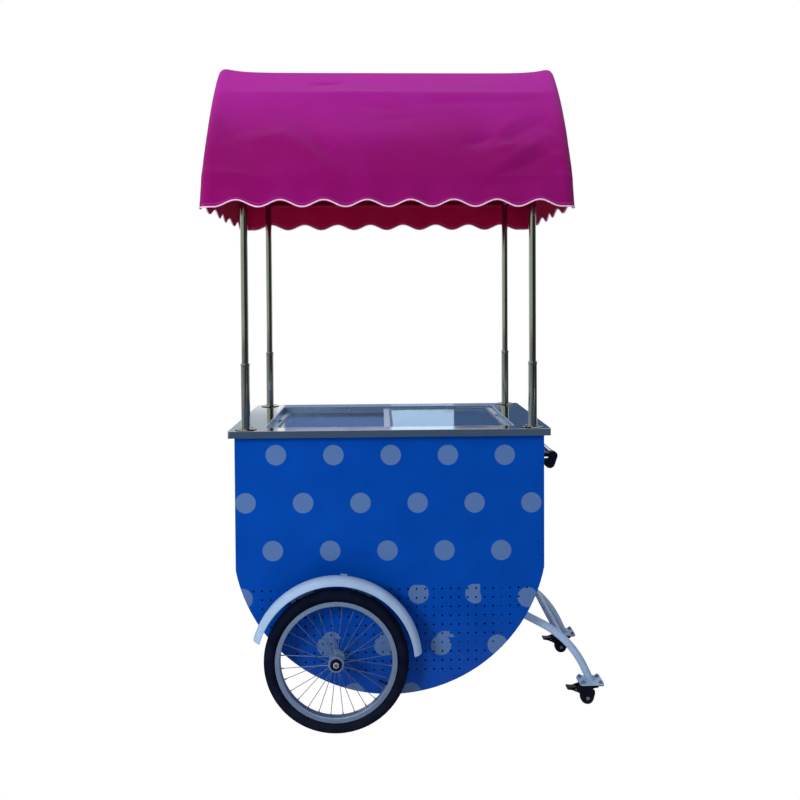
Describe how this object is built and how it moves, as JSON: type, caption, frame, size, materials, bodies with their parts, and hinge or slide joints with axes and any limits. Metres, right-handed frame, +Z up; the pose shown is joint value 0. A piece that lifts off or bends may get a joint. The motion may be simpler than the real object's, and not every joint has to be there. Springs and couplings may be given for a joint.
{
  "type": "food cart",
  "caption": "Ice-cream freezer cart: round-bellied sheet body on spoked wheels and braked casters, steel counter with sliding glass lids, poles and a cloth canopy.",
  "frame": {"origin": "on the ground, under the middle of the whole cart", "axes": "+Z up, +X towards the push handle and the casters, -Y towards the customer side seen in the picture"},
  "size_m": [1.412, 0.832, 2.388],
  "materials": {
    "body_paint": "satin blue paint with a paler polka-dot pattern",
    "frame_steel": "grey primer",
    "stainless": "brushed",
    "insulation": "foam core with a white skin",
    "liner_plastic": "smooth white",
    "lid_aluminium": "satin",
    "lid_glass": "clear",
    "unit_black": "satin black paint",
    "condenser_aluminium": "mill finish",
    "fan_plastic": "moulded black",
    "bright_steel": "zinc plated",
    "tyre_rubber": "black rubber",
    "rim_aluminium": "bright",
    "wheel_chrome": "polished",
    "white_paint": "gloss white paint",
    "black_plastic": "moulded black",
    "caster_steel": "black paint",
    "caster_rubber": "black",
    "canopy_tube": "mill finish",
    "canopy_fabric": "coated purple cloth with a pale bound hem"
  },
  "bodies": {
    "cart": {"side_panel_near": "body_paint", "side_panel_far": "body_paint", "end_panel_left": "body_paint", "end_panel_right": "body_paint", "belly_panel": "body_paint", "body_frame": "frame_steel", "countertop": "stainless", "freezer_cabinet": "insulation", "freezer_liner": "liner_plastic", "lid_frame": "lid_aluminium", "base_tray": "frame_steel", "compressor": "unit_black", "condenser": "condenser_aluminium", "fan_shroud": "unit_black", "axle": "bright_steel", "axle_saddles": "frame_steel", "axle_caps": "black_plastic", "axle_nuts": "bright_steel", "mudguard_near": "white_paint", "mudguard_far": "white_paint", "mudguard_brackets": "frame_steel", "leg_near": "white_paint", "leg_far": "white_paint", "leg_cross_tube": "white_paint", "caster_bolts": "bright_steel", "caster_head_near": "caster_steel", "caster_head_far": "caster_steel", "pole_sleeves": "stainless", "handle_tube": "wheel_chrome", "handle_bracket_near": "black_plastic", "handle_bracket_far": "black_plastic"},
    "wheel_near": {"tyre_near": "tyre_rubber", "rim_near": "rim_aluminium", "hub_near": "wheel_chrome", "spokes_near": "wheel_chrome"},
    "wheel_far": {"tyre_far": "tyre_rubber", "rim_far": "rim_aluminium", "hub_far": "wheel_chrome", "spokes_far": "wheel_chrome"},
    "caster_near": {"caster_fork_near": "caster_steel"},
    "caster_far": {"caster_fork_far": "caster_steel"},
    "caster_roller_near": {"caster_wheel_near": "caster_rubber"},
    "caster_roller_far": {"caster_wheel_far": "caster_rubber"},
    "brake_near": {"brake_pedal_near": "black_plastic"},
    "brake_far": {"brake_pedal_far": "black_plastic"},
    "lid_left": {"lid_left_frame": "lid_aluminium", "lid_left_glass": "lid_glass"},
    "lid_right": {"lid_right_frame": "lid_aluminium", "lid_right_glass": "lid_glass"},
    "canopy": {"canopy_cloth": "canopy_fabric", "canopy_hoop_left": "canopy_tube", "canopy_hoop_right": "canopy_tube", "canopy_rails": "canopy_tube", "canopy_crossbars": "canopy_tube", "canopy_poles": "stainless"},
    "fan": {"fan_blades": "fan_plastic"}
  },
  "joints": [
    {"name": "wheel_near_spin", "type": "hinge", "parent": "cart", "child": "wheel_near", "pos_m": [-0.263, -0.364, 0.25], "axis": [0, 1, 0], "continuous": true},
    {"name": "caster_near_swivel", "type": "hinge", "parent": "cart", "child": "caster_near", "pos_m": [0.662, -0.205, 0.0727], "axis": [0, 0, 1], "continuous": true},
    {"name": "caster_near_roll", "type": "hinge", "parent": "caster_near", "child": "caster_roller_near", "pos_m": [0.65, -0.205, 0.025], "axis": [0, 1, 0], "continuous": true},
    {"name": "brake_near_lift", "type": "hinge", "parent": "caster_near", "child": "brake_near", "pos_m": [0.606, -0.205, 0.0577], "axis": [0, 1, 0], "range_deg": [0, 18]},
    {"name": "wheel_far_spin", "type": "hinge", "parent": "cart", "child": "wheel_far", "pos_m": [-0.263, 0.364, 0.25], "axis": [0, 1, 0], "continuous": true},
    {"name": "caster_far_swivel", "type": "hinge", "parent": "cart", "child": "caster_far", "pos_m": [0.662, 0.205, 0.0727], "axis": [0, 0, 1], "continuous": true},
    {"name": "caster_far_roll", "type": "hinge", "parent": "caster_far", "child": "caster_roller_far", "pos_m": [0.65, 0.205, 0.025], "axis": [0, 1, 0], "continuous": true},
    {"name": "brake_far_lift", "type": "hinge", "parent": "caster_far", "child": "brake_far", "pos_m": [0.606, 0.205, 0.0577], "axis": [0, 1, 0], "range_deg": [0, 18]},
    {"name": "lid_left_slide", "type": "slide", "parent": "cart", "child": "lid_left", "axis": [1, 0, 0], "range_m": [0, 0.415]},
    {"name": "lid_right_slide", "type": "slide", "parent": "cart", "child": "lid_right", "axis": [1, 0, 0], "range_m": [-0.415, 0]},
    {"name": "canopy_lift", "type": "slide", "parent": "cart", "child": "canopy", "axis": [0, 0, 1], "range_m": [0, 0.24]},
    {"name": "fan_spin", "type": "hinge", "parent": "cart", "child": "fan", "pos_m": [0.144, 0, 0.377], "axis": [1, 0, 0], "continuous": true}
  ]
}
